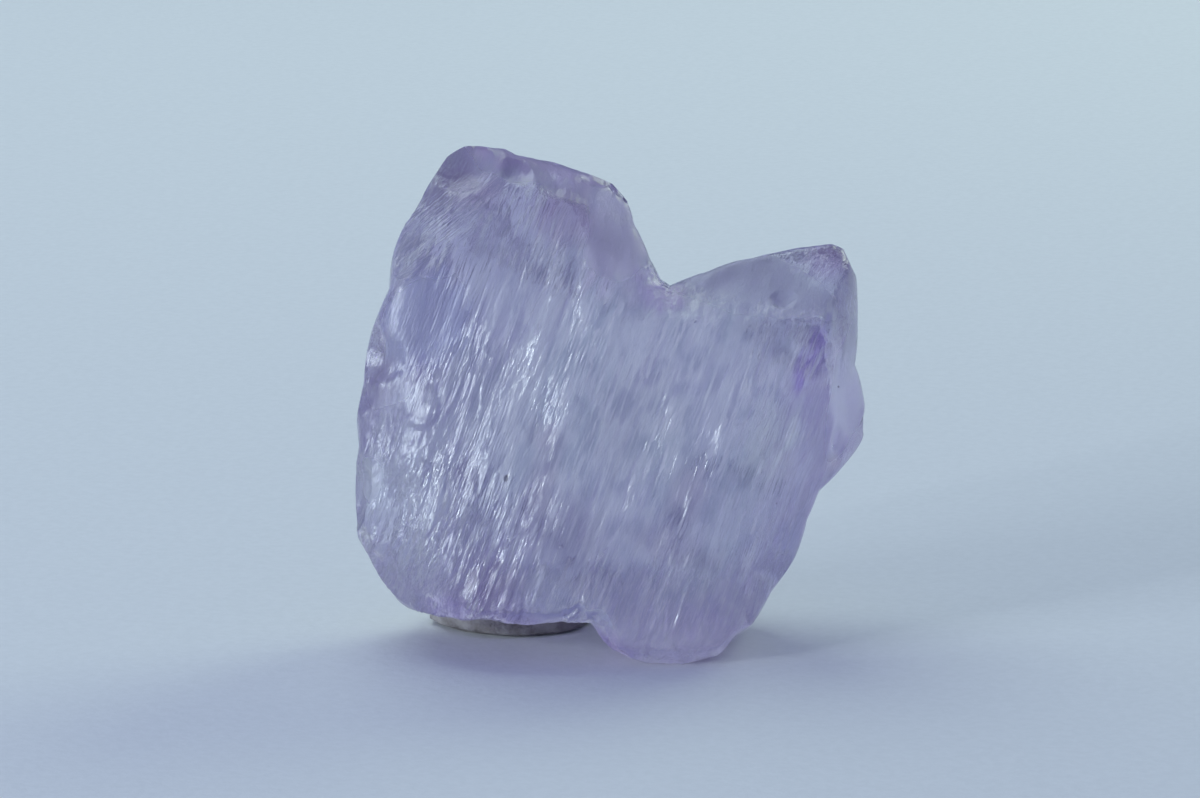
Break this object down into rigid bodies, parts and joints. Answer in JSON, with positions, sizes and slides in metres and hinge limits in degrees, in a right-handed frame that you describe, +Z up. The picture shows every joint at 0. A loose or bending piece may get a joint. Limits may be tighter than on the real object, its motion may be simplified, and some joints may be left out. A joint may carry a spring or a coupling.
{
  "type": "rough kunzite crystal on a wad of putty",
  "caption": "Rough lilac kunzite crystal, a two-lobed cleavage piece with a striated broad front, propped on a wad of grey putty.",
  "frame": {"origin": "on the table, under the middle of the crystal's and the putty's bounding box", "axes": "+Z up from the table, the broad striated front faces -Y, +X to the right seen from the front"},
  "size_m": [0.025, 0.0152, 0.0247],
  "materials": {
    "crystal": "milky lilac translucent crystal, silky along its fibres, glossy on cleavage steps",
    "putty": "dull grey-brown mounting putty, slightly dusty"
  },
  "bodies": {
    "root": {"crystal": "crystal", "putty": "putty"}
  },
  "joints": []
}
